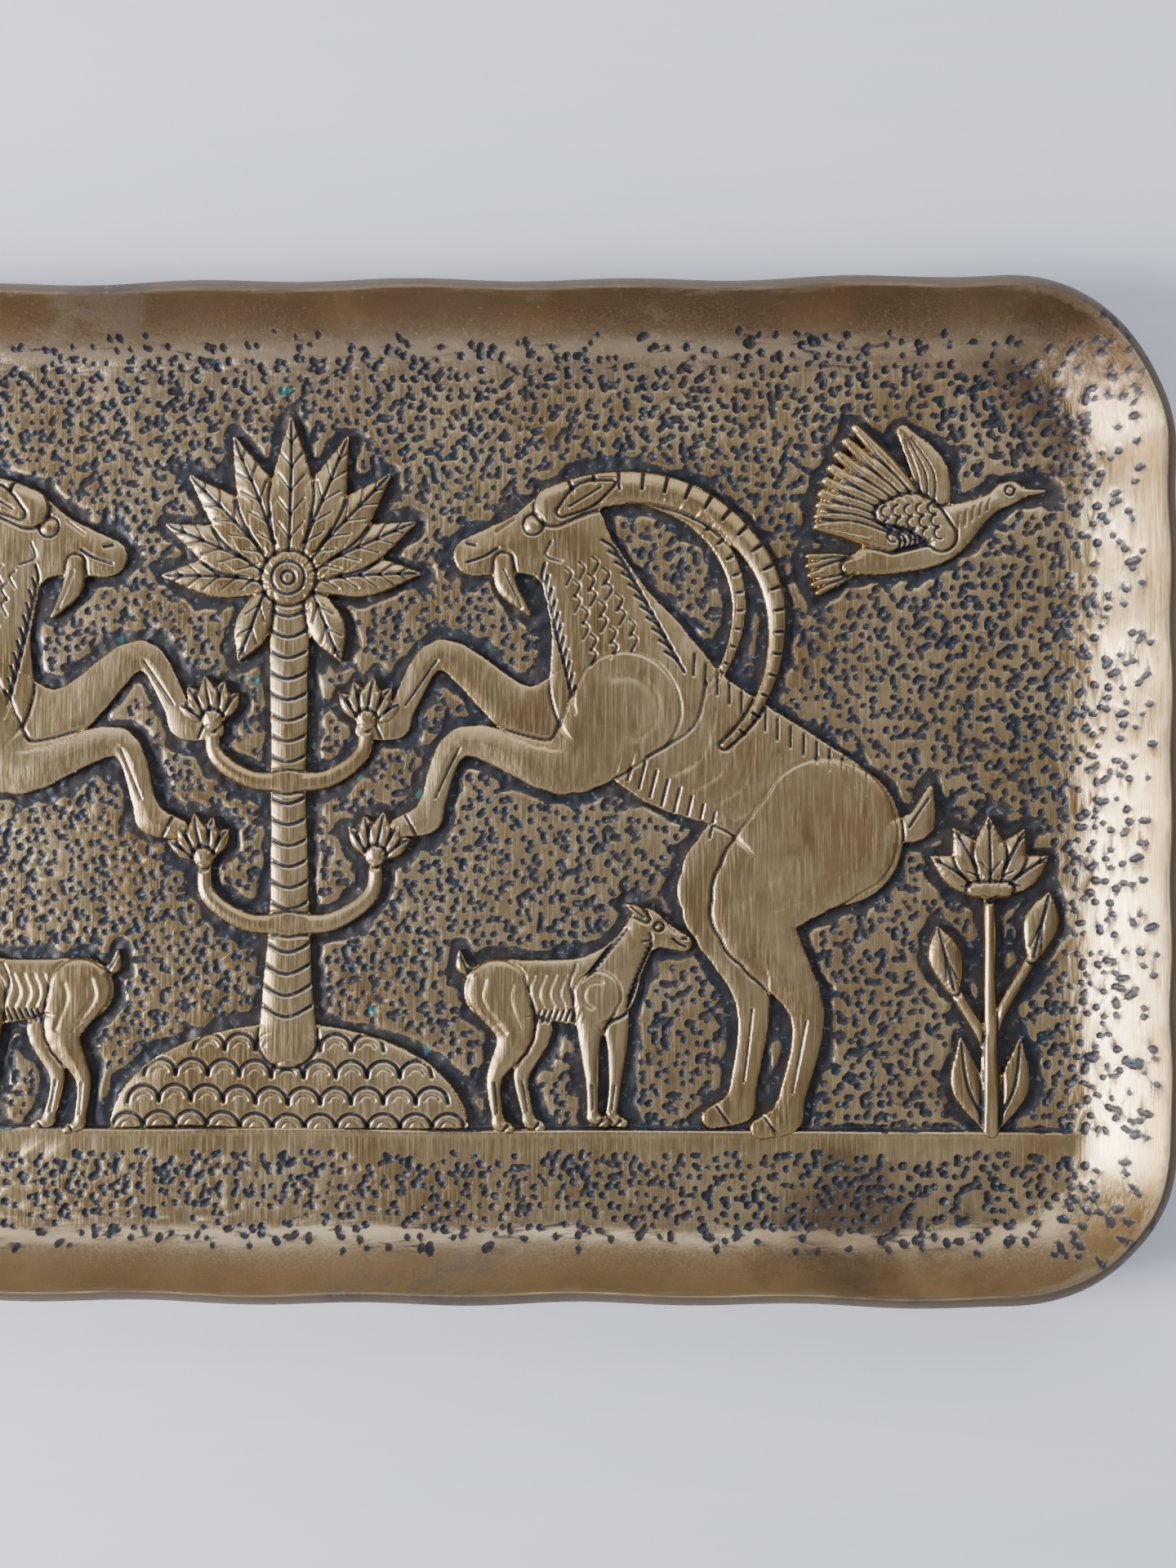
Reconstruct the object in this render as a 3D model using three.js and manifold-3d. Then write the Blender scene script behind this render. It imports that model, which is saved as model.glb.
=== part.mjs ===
// A cast bronze platter: a shallow oblong dish with round corners and a slightly wavy rim.
// Its floor carries a low relief of goats at a stylised tree, above a raised ground band.
// Millimetres, +Z up. The origin is under the middle of the dish, on the surface that it rests on.
import * as THREE from 'three';
import { mergeVertices } from 'three/addons/utils/BufferGeometryUtils.js';
import Module from 'manifold-3d';

const wasm = await Module();
wasm.setup();

// Dish
const LENGTH = 280;
const WIDTH = 160;
const HEIGHT = 16;
const CORNER_RADIUS = 27;
const FLOOR_THICKNESS = 3.5;
const COVE_AT_SIDES = 13; // how far the floor's rise reaches in from the rim
const COVE_AT_ENDS = 19;
const LIP_WIDTH = 1.7; // the rim's edge, which slopes down outwards
const LIP_DROP = 1.6;
const RIM_THICKNESS = 1.2; // upright metal under the lip
const BASE_MARGIN = 2.5; // how much wider than the floor the underside's curve reaches
const WAVE = 0.45; // in and out wander of the rim
const WAVE_LENGTH = 34;

// Relief
const GROUND_LINE = 25.5; // from the near long edge up to the line that the figures stand on
const GROUND_BAND_RISE = 0.5;
const HEADROOM = 18; // from the top of the figures to the far long edge
const RELIEF_RISE = 1.5; // the figures' nearest parts above the floor
const ROOT = FLOOR_THICKNESS / 3; // how far a figure's solid reaches down into the floor

const GROUND_Y = GROUND_LINE - WIDTH / 2;
const FIGURE_HEIGHT = WIDTH - GROUND_LINE - HEADROOM;
const HALF_LENGTH = LENGTH / 2;

// Layout: at is a share of half the length, up is millimetres over the ground line for the goats,
// and what else is given is a share of the figures' height
const GOATS = { at: 0.618, up: 1.2, size: 0.575 };
const KIDS = { at: 0.24, up: 0.8, size: 0.25 };
const BIRDS = { at: 0.72, up: 0.81, size: 0.23 };
const LOTUSES = { at: 0.805, size: 0.33 };
const HILL = { width: 0.25, height: 0.146, level: 0.6 };
const BRANCHES = [{ up: 0.28, reach: 0.12, rise: 0.095 }, { up: 0.477, reach: 0.107, rise: 0.086 }];
const CROWN_LEAVES = 9;

// Relief levels, as shares of the full rise
const FAR = 0.5;
const MIDDLE = 0.82;
const NEAR = 1;
const FOOT = 0.42; // how much of a form's rise is upright before it slopes in

// Facets
const CORNER_STEPS = 9;
const LONG_SIDE_STEPS = 15;
const SHORT_SIDE_STEPS = 8;
const COVE_STEPS = 5;
const SHARPEST_CORNER = 0.5;
const BROAD_END = 2.2; // half-width from which the end of a brush line is round
const WIDEST_BEVEL = 2.2;
const NARROWEST = 0.2; // share of a brush line's width that its top keeps

// The rim

function wave(x, y) {
  const turn = (2 * Math.PI) / WAVE_LENGTH;
  return WAVE * (0.6 * Math.sin(turn * x + 0.05 * y) + 0.4 * Math.sin(1.7 * turn * y + 0.06 * x + 1));
}

// One ring of the dish, counter-clockwise, inset from the rim by a length plus a share of the cove.
function ring(inset, coveShare, z) {
  const insetX = inset + coveShare * COVE_AT_ENDS;
  const insetY = inset + coveShare * COVE_AT_SIDES;
  const radiusX = Math.max(CORNER_RADIUS - insetX, SHARPEST_CORNER);
  const radiusY = Math.max(CORNER_RADIUS - insetY, SHARPEST_CORNER);
  const a = LENGTH / 2 - insetX - radiusX;
  const b = WIDTH / 2 - insetY - radiusY;
  const corners = [[a, -b, SHORT_SIDE_STEPS], [a, b, LONG_SIDE_STEPS],
    [-a, b, SHORT_SIDE_STEPS], [-a, -b, LONG_SIDE_STEPS]];
  const points = [];
  const add = (x, y, outX, outY) => {
    const push = wave(x, y);
    points.push([x + push * outX, y + push * outY, z]);
  };
  corners.forEach(([cornerX, cornerY, steps], index) => {
    const [nextX, nextY] = corners[(index + 1) % corners.length];
    let out;
    for (let i = 0; i <= CORNER_STEPS; i += 1) {
      const angle = (Math.PI / 2) * (index - 1 + i / CORNER_STEPS);
      out = [Math.cos(angle), Math.sin(angle)];
      add(cornerX + radiusX * out[0], cornerY + radiusY * out[1], ...out);
    }
    for (let i = 1; i < steps; i += 1) {
      const x = THREE.MathUtils.lerp(cornerX, nextX, i / steps);
      const y = THREE.MathUtils.lerp(cornerY, nextY, i / steps);
      add(x + radiusX * out[0], y + radiusY * out[1], ...out);
    }
  });
  return points;
}

// Solids

// A closed solid from rings of equally many points, the first at the bottom, each end closed flat.
function stacked(rings) {
  const count = rings[0].length;
  const positions = rings.flat(2);
  const faces = [];
  for (let r = 0; r + 1 < rings.length; r += 1) {
    for (let i = 0; i < count; i += 1) {
      const [a, b] = [r * count + i, r * count + ((i + 1) % count)];
      faces.push(a, b, b + count, a, b + count, a + count);
    }
  }
  const lid = (points, first, up) => {
    const flat = points.map(([x, y]) => new THREE.Vector2(x, y));
    THREE.ShapeUtils.triangulateShape(flat, []).forEach(([a, b, c]) => {
      faces.push(first + a, first + (up ? b : c), first + (up ? c : b));
    });
  };
  lid(rings[0], 0, false);
  lid(rings[rings.length - 1], (rings.length - 1) * count, true);
  return new wasm.Manifold(new wasm.Mesh({
    numProp: 3,
    vertProperties: Float32Array.from(positions),
    triVerts: Uint32Array.from(faces),
  }));
}

function dish() {
  const rise = HEIGHT - FLOOR_THICKNESS;
  const underRise = HEIGHT - LIP_DROP - RIM_THICKNESS;
  const rings = [];
  for (let i = 0; i <= COVE_STEPS; i += 1) {
    const share = 1 - i / COVE_STEPS;
    rings.push(ring(BASE_MARGIN * share, share, underRise * (1 - share) ** 2));
  }
  rings.push(ring(0, 0, HEIGHT - LIP_DROP));
  for (let i = 0; i <= COVE_STEPS; i += 1) {
    const share = i / COVE_STEPS;
    rings.push(ring(LIP_WIDTH * (1 - share), share, FLOOR_THICKNESS + rise * (1 - share) ** 2));
  }
  return stacked(rings);
}

// The raised band in front of the figures. Its other edges lie inside the rising cove.
function groundBand() {
  const buried = 0.6; // share of the cove's width
  const loop = ring(0, buried, 0);
  const first = loop.findIndex((p, i) => p[1] < GROUND_Y && loop.at(i - 1)[1] >= GROUND_Y);
  const shore = [...loop.slice(first), ...loop.slice(0, first)].filter((p) => p[1] < GROUND_Y);
  const outline = [...shore, [shore.at(-1)[0], GROUND_Y], [shore[0][0], GROUND_Y]];
  const at = (z) => outline.map(([x, y]) => [x, y, z]);
  return stacked([at(FLOOR_THICKNESS - GROUND_BAND_RISE), at(FLOOR_THICKNESS + GROUND_BAND_RISE)]);
}

// Drawing. A point is [x, y], a brush point [x, y, half-width].

const polar = ([x, y], degrees, length) => {
  const angle = THREE.MathUtils.degToRad(degrees);
  return [x + length * Math.cos(angle), y + length * Math.sin(angle)];
};

const chain = (start, lengths, angles) => lengths.reduce(
  (points, length, i) => [...points, polar(points[i], angles[i], length)],
  [start],
);

const lift = (outline, z) => outline.map(([x, y]) => [x, y, FLOOR_THICKNESS + z]);

// The outline of a brush line, drawn narrower by shrink.
function outlineOf(line, shrink) {
  const width = (p) => Math.max(p[2] - shrink, NARROWEST * p[2]);
  const heading = line.map((p, i) => {
    const before = line[Math.max(i - 1, 0)];
    const after = line[Math.min(i + 1, line.length - 1)];
    return THREE.MathUtils.radToDeg(Math.atan2(after[1] - before[1], after[0] - before[0]));
  });
  const side = (turn) => line.map((p, i) => polar(p, heading[i] + turn, width(p)));
  const cap = (i, turn) => {
    const turns = line[i][2] > BROAD_END ? [-45, 0, 45] : [0];
    return turns.map((angle) => polar(line[i], heading[i] + turn + angle, width(line[i])));
  };
  return [...side(-90), ...cap(line.length - 1, 0), ...side(90).reverse(), ...cap(0, 180)];
}

// A raised form along a brush line: upright to its foot, then sloped in by bevel up to its top.
function form(points, level, bevel) {
  const curve = new THREE.CatmullRomCurve3(points.map((p) => new THREE.Vector3(...p)), false, 'catmullrom');
  const line = curve.getPoints(points.length - 1).map((p) => [p.x, p.y, p.z]);
  const rise = level * RELIEF_RISE;
  let outlines = [outlineOf(line, 0), outlineOf(line, 0), outlineOf(line, bevel)];
  const turnsRight = THREE.ShapeUtils.area(outlines[0].map((p) => new THREE.Vector2(...p))) < 0;
  if (turnsRight) outlines = outlines.map((outline) => outline.reverse());
  return stacked([lift(outlines[0], -ROOT), lift(outlines[1], FOOT * rise), lift(outlines[2], rise)]);
}

function leaf(root, angle, length, width, level, bend = 0) {
  const shares = [[0, 0.4], [0.5, 1], [1, 0.12]];
  const line = shares.map(([along, wide]) => {
    const middle = polar(root, angle + bend * along, length * along);
    return [...middle, width * wide];
  });
  return form(line, level, width * 0.8);
}

function disc(centre, radius, level) {
  const sides = 8;
  const round = (r) => Array.from({ length: sides }, (_, i) => polar(centre, (360 * i) / sides, r));
  const rise = level * RELIEF_RISE;
  const top = 0.6 * radius;
  return stacked([lift(round(radius), -ROOT), lift(round(radius), FOOT * rise), lift(round(top), rise)]);
}

// Goats, in shares of the shoulder height, facing their own +x

const HIND_BONES = [0.26, 0.27, 0.24, 0.07];
const FORE_BONES = [0.21, 0.25, 0.19, 0.07];
const HIND_WIDTHS = [0.17, 0.105, 0.043, 0.031, 0.034];
const FORE_WIDTHS = [0.13, 0.068, 0.037, 0.029, 0.033];

// Angles of the spine, neck, head, tail, horn root and of each leg's bones from the body down
const RAMPANT = {
  hip: 0.695,
  pitch: 36,
  neck: 68,
  head: -16,
  tail: 158,
  horn: 60,
  hindNear: [-48, -118, -80, -36],
  hindFar: [-36, -106, -84, -36],
  foreNear: [-42, 14, -66, -30],
  foreFar: [-8, 36, -56, -24],
};
const STANDING = {
  hip: 0.74,
  pitch: 0,
  neck: 60,
  head: -24,
  tail: 150,
  horn: 60,
  hindNear: [-68, -114, -84, -36],
  hindFar: [-50, -106, -78, -36],
  foreNear: [-102, -88, -88, -36],
  foreFar: [-72, -92, -98, -36],
};

function goat(place, size, turn, pose, horned) {
  const limb = (points, widths, level) => {
    const line = points.map(([x, y], i) => {
      const worldX = place[0] + turn * size * x;
      const worldY = place[1] + size * y;
      return [worldX, worldY, size * widths[i]];
    });
    const bevel = Math.min(0.5 * size * Math.max(...widths), WIDEST_BEVEL);
    return form(line, level, bevel);
  };
  const along = (share, up = 0) => polar(polar([0, pose.hip], pose.pitch, share), pose.pitch + 90, up);
  const neckBase = along(0.64, 0.04);
  const poll = polar(neckBase, pose.neck, 0.36);
  const onHead = (share, up) => polar(polar(poll, pose.head, share), pose.head + 90, up);
  const hindLeg = (start, angles, level) => limb(chain(start, HIND_BONES, angles), HIND_WIDTHS, level);
  const foreLeg = (start, angles, level) => limb(chain(start, FORE_BONES, angles), FORE_WIDTHS, level);
  const horn = (radius, width, level) => {
    const steps = 8;
    const sweep = 168;
    const centre = polar(onHead(0.01, 0.05), pose.horn + 180, radius);
    const shares = Array.from({ length: steps + 1 }, (_, k) => k / steps);
    const line = shares.map((share) => {
      const shrunk = radius * (1 - 0.1 * share);
      return polar(centre, pose.horn + sweep * share, shrunk);
    });
    const widths = shares.map((share) => width * (1 - 0.8 * share));
    return limb(line, widths, level);
  };
  const rump = along(-0.14, 0.1);
  const ear = onHead(-0.005, 0.03);
  const chin = onHead(0.16, -0.045);
  const spine = [along(-0.01), along(0.2, 0.015), along(0.42, -0.015), along(0.6)];
  const neck = [along(0.58, 0.02), polar(neckBase, pose.neck, 0.16), poll];
  const head = [poll, onHead(0.12, -0.016), onHead(0.235, -0.01)];
  const tail = [rump, polar(rump, pose.tail, 0.06), polar(rump, pose.tail - 30, 0.13)];
  const earLine = [ear, polar(ear, pose.head + 160, 0.07), polar(ear, pose.head + 166, 0.135)];
  const beard = [chin, polar(chin, -98, 0.06), polar(chin, -114, 0.14)];
  const parts = [
    hindLeg(along(0.04, -0.02), pose.hindFar, FAR),
    foreLeg(along(0.6, -0.05), pose.foreFar, FAR),
    limb(spine, [0.175, 0.15, 0.18, 0.175], MIDDLE),
    limb(neck, [0.17, 0.115, 0.078], MIDDLE),
    limb(head, [0.08, 0.068, 0.04], MIDDLE),
    limb(tail, [0.028, 0.034, 0.01], MIDDLE),
    hindLeg(along(0), pose.hindNear, NEAR),
    foreLeg(along(0.56, -0.04), pose.foreNear, NEAR),
    limb(earLine, [0.012, 0.03, 0.008], NEAR),
  ];
  if (horned) {
    parts.push(horn(0.31, 0.036, FAR), horn(0.375, 0.048, NEAR));
    parts.push(limb(beard, [0.022, 0.026, 0.006], MIDDLE));
  }
  return parts;
}

// The tree on its hill, in shares of the figures' height

const onTree = (value) => value * FIGURE_HEIGHT;

function hill() {
  const steps = 14;
  const outline = (shrink) => Array.from({ length: steps + 1 }, (_, k) => {
    const angle = (Math.PI * k) / steps;
    const x = (onTree(HILL.width) - shrink) * Math.cos(angle);
    const y = (onTree(HILL.height) - shrink) * Math.sin(angle);
    return [x, GROUND_Y + y];
  });
  const rise = HILL.level * RELIEF_RISE;
  const top = outline(onTree(0.02));
  return stacked([lift(outline(0), -ROOT), lift(outline(0), FOOT * rise), lift(top, rise)]);
}

function branch(side, { up, reach, rise }) {
  const root = [0, GROUND_Y + onTree(up)];
  const tip = [side * onTree(reach), root[1] + onTree(rise)];
  const line = [
    [...root, 1.8],
    [0.5 * tip[0], root[1] + 0.5, 1.5],
    [0.95 * tip[0], THREE.MathUtils.lerp(root[1], tip[1], 0.45), 1.3],
    [...tip, 1],
  ];
  const leaves = [-46, 0, 46].map((turn) => {
    const angle = 90 - side * 10 + turn;
    return leaf(tip, angle, onTree(0.06), onTree(0.016), NEAR);
  });
  return [form(line, MIDDLE, 0.9), ...leaves];
}

function tree() {
  const foot = GROUND_Y + onTree(HILL.height);
  const crown = GROUND_Y + onTree(0.75);
  const trunk = [
    [0, foot - onTree(0.02), onTree(0.041)],
    [0, THREE.MathUtils.lerp(foot, crown, 0.25), onTree(0.028)],
    [0, THREE.MathUtils.lerp(foot, crown, 0.6), onTree(0.025)],
    [0, crown, onTree(0.03)],
  ];
  const heart = [0, crown + onTree(0.013)];
  const parts = [hill(), form(trunk, MIDDLE, 1.5)];
  for (const side of [-1, 1]) {
    for (const place of BRANCHES) parts.push(...branch(side, place));
    parts.push(leaf([side * onTree(0.03), crown], -90 + side * 22, onTree(0.11), onTree(0.022), NEAR));
  }
  for (let k = 0; k < CROWN_LEAVES; k += 1) {
    const off = k - (CROWN_LEAVES - 1) / 2;
    const length = onTree(0.223 - 0.011 * Math.abs(off));
    parts.push(leaf(heart, 90 + (198 / CROWN_LEAVES) * off, length, onTree(0.028), MIDDLE));
  }
  parts.push(disc(heart, onTree(0.038), NEAR));
  return parts;
}

// A flying bird, in shares of its length, facing outwards

function bird(side) {
  const size = BIRDS.size * FIGURE_HEIGHT;
  const centre = [BIRDS.at * HALF_LENGTH, GROUND_Y + BIRDS.up * FIGURE_HEIGHT];
  const tilt = 14;
  const stroke = (points, level, bevel) => form(points.map(([x, y, width]) => {
    const angle = tilt + THREE.MathUtils.radToDeg(Math.atan2(y, x));
    const [worldX, worldY] = polar(centre, angle, size * Math.hypot(x, y));
    return [side * worldX, worldY, size * width];
  }), level, bevel);
  const feather = (root, angle, length) => {
    const middle = polar(root, angle, length * 0.5);
    const tip = polar(root, angle + 4, length);
    return stroke([[...root, 0.05], [...middle, 0.065], [...tip, 0.03]], MIDDLE, 0.9);
  };
  const farWing = [[0.08, 0.05, 0.12], [0.2, 0.36, 0.12], [0.1, 0.66, 0.04]];
  const body = [[-0.42, -0.06, 0.05], [-0.15, -0.03, 0.13], [0.15, 0, 0.16], [0.4, 0.08, 0.085]];
  const head = [[0.4, 0.08, 0.085], [0.62, 0.15, 0.07], [0.7, 0.145, 0.035], [0.84, 0.11, 0.012]];
  const shoulder = [[0.17, -0.01, 0.085], [0.06, 0.16, 0.11], [-0.13, 0.2, 0.06]];
  return [
    stroke(farWing, FAR, 1.2),
    stroke(body, MIDDLE, 1.2),
    stroke(head, MIDDLE, 0.6),
    ...[-1.6, 0, 1.6].map((k) => feather([-0.34, -0.05], 180 + 10 * k, 0.33)),
    ...[0, 0.25, 0.5, 0.75, 1].map((f) => feather([0.12 - 0.26 * f, 0.02], 108 + 42 * f, 0.78 - 0.32 * f)),
    stroke(shoulder, NEAR, 1.2),
  ];
}

// A lotus plant with a flower and two buds, in shares of its height

function lotus(side) {
  const root = [side * LOTUSES.at * HALF_LENGTH, GROUND_Y];
  const height = LOTUSES.size * FIGURE_HEIGHT;
  const stem = (angle, reach) => {
    const tip = polar(root, angle, height * reach);
    const line = [[...root, 1.3], [...polar(root, 90, 0.5 * height * reach), 1], [...tip, 0.9]];
    return [tip, form(line, MIDDLE, 0.6)];
  };
  const parts = [-1, 1].map((lean) => {
    const angle = 90 + 36 * lean;
    return leaf(root, angle, 0.4 * height, 0.055 * height, FAR, -18 * lean);
  });
  for (const [lean, reach] of [[15, 0.62], [-14, 0.76]]) {
    const [tip, stalk] = stem(90 + side * lean, reach);
    parts.push(stalk, leaf(tip, 90 + side * lean, 0.25 * height, 0.064 * height, NEAR));
  }
  const [heart, stalk] = stem(90, 1);
  const petals = [-2, -1, 0, 1, 2].map((k) => {
    const length = (0.3 - 0.016 * Math.abs(k)) * height;
    return leaf(heart, 90 + 29 * k, length, 0.06 * height, NEAR);
  });
  return [...parts, stalk, ...petals, disc(heart, 0.06 * height, NEAR)];
}

function relief() {
  const parts = [groundBand(), ...tree()];
  for (const side of [-1, 1]) {
    const goatAt = [side * GOATS.at * HALF_LENGTH, GROUND_Y + GOATS.up];
    const kidAt = [side * KIDS.at * HALF_LENGTH, GROUND_Y + KIDS.up];
    parts.push(...goat(goatAt, GOATS.size * FIGURE_HEIGHT, -side, RAMPANT, true));
    parts.push(...goat(kidAt, KIDS.size * FIGURE_HEIGHT, side, STANDING, false));
    parts.push(...bird(side), ...lotus(side));
  }
  return parts;
}

function geometryOf(solid) {
  const mesh = solid.getMesh();
  const geometry = new THREE.BufferGeometry();
  geometry.setAttribute('position', new THREE.BufferAttribute(mesh.vertProperties, 3));
  geometry.setIndex(new THREE.BufferAttribute(mesh.triVerts, 1));
  return mergeVertices(geometry, 1e-4);
}

const bronze = new THREE.MeshStandardMaterial({ color: 0x9a7d50, roughness: 0.42, metalness: 1 });
const whole = relief().reduce((solid, part) => solid.add(part), dish());
const platter = new THREE.Mesh(geometryOf(whole), bronze);
platter.name = 'platter';

const group = new THREE.Group();
group.add(platter);
export default group;
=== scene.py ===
"""The looks of a cast bronze relief platter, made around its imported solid.

Shapes are worked out in millimetres on square grids of heights, and turned into metres as each mesh is made.
"""
import math

import bpy
import numpy as np
from mathutils import Matrix, Vector

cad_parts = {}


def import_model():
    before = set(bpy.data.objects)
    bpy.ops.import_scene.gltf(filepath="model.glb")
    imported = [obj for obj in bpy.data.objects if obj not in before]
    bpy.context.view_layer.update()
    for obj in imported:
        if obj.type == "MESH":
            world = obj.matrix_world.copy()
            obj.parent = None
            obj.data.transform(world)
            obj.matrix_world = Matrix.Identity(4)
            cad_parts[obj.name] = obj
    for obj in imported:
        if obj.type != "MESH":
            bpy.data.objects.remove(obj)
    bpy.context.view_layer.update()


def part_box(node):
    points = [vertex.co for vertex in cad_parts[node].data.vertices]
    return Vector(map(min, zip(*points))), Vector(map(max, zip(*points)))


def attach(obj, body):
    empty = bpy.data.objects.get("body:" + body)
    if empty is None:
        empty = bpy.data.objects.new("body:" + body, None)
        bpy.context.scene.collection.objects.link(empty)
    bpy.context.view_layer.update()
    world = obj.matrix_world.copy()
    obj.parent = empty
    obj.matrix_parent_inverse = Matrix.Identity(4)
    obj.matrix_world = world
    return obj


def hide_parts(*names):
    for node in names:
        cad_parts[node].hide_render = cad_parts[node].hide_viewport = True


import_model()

# Sizes of the dish, as in the solid
LENGTH = 280.0
WIDTH = 160.0
HEIGHT = 16.0
CORNER_RADIUS = 27.0
FLOOR = 3.5
COVE_AT_SIDES = 13.0
COVE_AT_ENDS = 19.0
LIP_WIDTH = 1.7
LIP_DROP = 1.6
RIM_THICKNESS = 1.2
BASE_MARGIN = 2.5
WAVE = 0.45
WAVE_LENGTH = 34.0
COVE_POWER = 2.2  # how much steeper the cove is at the lip than at its foot
LIP_POWER = 1.3
THINNEST = 0.6  # metal between the upper and the under surface

# The relief, as in the solid
GROUND_LINE = 25.5
GROUND_BAND_RISE = 0.5
HEADROOM = 18.0
GROUND_Y = GROUND_LINE - WIDTH / 2
FIGURE_HEIGHT = WIDTH - GROUND_LINE - HEADROOM
HALF_LENGTH = LENGTH / 2
GOATS = dict(at=0.618, up=1.2, size=0.575)
KIDS = dict(at=0.24, up=0.8, size=0.25)
BIRDS = dict(at=0.72, up=0.81, size=0.23)
LOTUSES = dict(at=0.805, size=0.33)
HILL = dict(width=0.25, height=0.146)
BRANCHES = (dict(up=0.28, reach=0.12, rise=0.095), dict(up=0.477, reach=0.107, rise=0.086))
CROWN_LEAVES = 9
FAR, MIDDLE, NEAR = 0.75, 1.23, 1.5  # how high the layers of a figure stand over the floor

# The sunken ground around the figures, and the punched pits
RECESS = 0.45
RECESS_REACH = 2.6
POCKET_REACH = 2.4
PIT_PITCH = 1.75
PIT_DEPTH = 0.34
PIT_RADIUS = 0.28
PIT_RADIUS_MORE = 0.24  # what the largest pits add to it
PITS_AT_RIM = 0.38  # share of the places that have a pit
PITS_MORE_INSIDE = 0.58
THIN_FROM, THIN_TO = 3.0, 18.0  # distances from the rim between which the pits thin out
PLAIN_EDGE_AT_SIDES = 6.5
PLAIN_EDGE_AT_ENDS = 3.0
PLAIN_STRIP = 3.2

# Grids
FIGURE_CELL = 0.22
DISH_CELL = 0.28
HALF_DISH_TRIANGLES = 195000
FIGURE_SINK = 1.0  # how far a figure's mesh goes down into the floor
SEAM_LAP = 0.1  # how far each half of the dish reaches over the middle
REACH = 6.0  # how far from a form its distance is measured

MM = 0.001


# Drawing

def polar(p, angle, length):
    a = math.radians(angle)
    return (p[0] + length * math.cos(a), p[1] + length * math.sin(a))


def chain(start, lengths, angles):
    points = [start]
    for length, angle in zip(lengths, angles):
        points.append(polar(points[-1], angle, length))
    return points


def arc(centre, radius, first, last, steps):
    return [polar(centre, first + (last - first) * k / steps, radius) for k in range(steps + 1)]


def smooth_line(points, steps):
    """A Catmull-Rom line through points of any dimension."""
    p = np.array(points, float)
    if len(p) < 3:
        return p
    p = np.vstack([2 * p[0] - p[1], p, 2 * p[-1] - p[-2]])
    t = np.linspace(0, 1, steps, endpoint=False)[:, None]
    spans = [
        0.5 * (2 * b + (c - a) * t + (2 * a - 5 * b + 4 * c - d) * t**2 + (3 * b - a - 3 * c + d) * t**3)
        for a, b, c, d in zip(p[:-3], p[1:-2], p[2:-1], p[3:])
    ]
    return np.vstack([*spans, p[-2:-1]])


def ease(x, low, high):
    t = np.clip((x - low) / (high - low), 0, 1)
    return t * t * (3 - 2 * t)


def noise(x, y, length, seed):
    """Smooth noise from -1 to 1 with features about length across."""
    size = 128
    table = np.random.default_rng(seed).uniform(-1, 1, (size, size))
    u, v = x / length, y / length
    i, j = np.floor(u).astype(int), np.floor(v).astype(int)
    s, t = ease(u - i, 0, 1), ease(v - j, 0, 1)
    a, b = i % size, j % size
    c, d = (i + 1) % size, (j + 1) % size
    return (table[b, a] * (1 - s) + table[b, c] * s) * (1 - t) + (table[d, a] * (1 - s) + table[d, c] * s) * t


def spread(field, cells):
    """A box blur along both axes, run twice."""
    for axis in (0, 1, 0, 1):
        pad = [(0, 0), (0, 0)]
        pad[axis] = (cells + 1, cells)
        total = np.cumsum(np.pad(field, pad, mode="edge"), axis=axis)
        ends = np.take(total, range(2 * cells + 1, total.shape[axis]), axis=axis)
        starts = np.take(total, range(total.shape[axis] - 2 * cells - 1), axis=axis)
        field = (ends - starts) / (2 * cells + 1)
    return field


class Grid:
    """Square cells between two corners, with a height, a distance to the outline and a patina in each. On the
    dish this also holds a painted shade at the foot of the ground line's step.
    """

    def __init__(self, low, high, cell):
        self.cell = cell
        self.xs = np.arange(low[0], high[0] + cell, cell)
        self.ys = np.arange(low[1], high[1] + cell, cell)
        self.x, self.y = np.meshgrid(self.xs, self.ys)
        self.height = np.zeros(self.x.shape)
        self.outline = np.full(self.x.shape, REACH)
        self.patina_and_shade = np.zeros(self.x.shape)

    def window(self, line, margin):
        low = line[:, :2].min(axis=0) - margin
        high = line[:, :2].max(axis=0) + margin
        i = np.searchsorted(self.xs, (low[0], high[0]))
        j = np.searchsorted(self.ys, (low[1], high[1]))
        return slice(*j), slice(*i)

    def sample(self, field, x, y):
        u = np.clip((x - self.xs[0]) / self.cell, 0, len(self.xs) - 1.001)
        v = np.clip((y - self.ys[0]) / self.cell, 0, len(self.ys) - 1.001)
        i, j = u.astype(int), v.astype(int)
        s, t = u - i, v - j
        low = field[j, i] * (1 - s) + field[j, i + 1] * s
        high = field[j + 1, i] * (1 - s) + field[j + 1, i + 1] * s
        return low * (1 - t) + high * t


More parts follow.
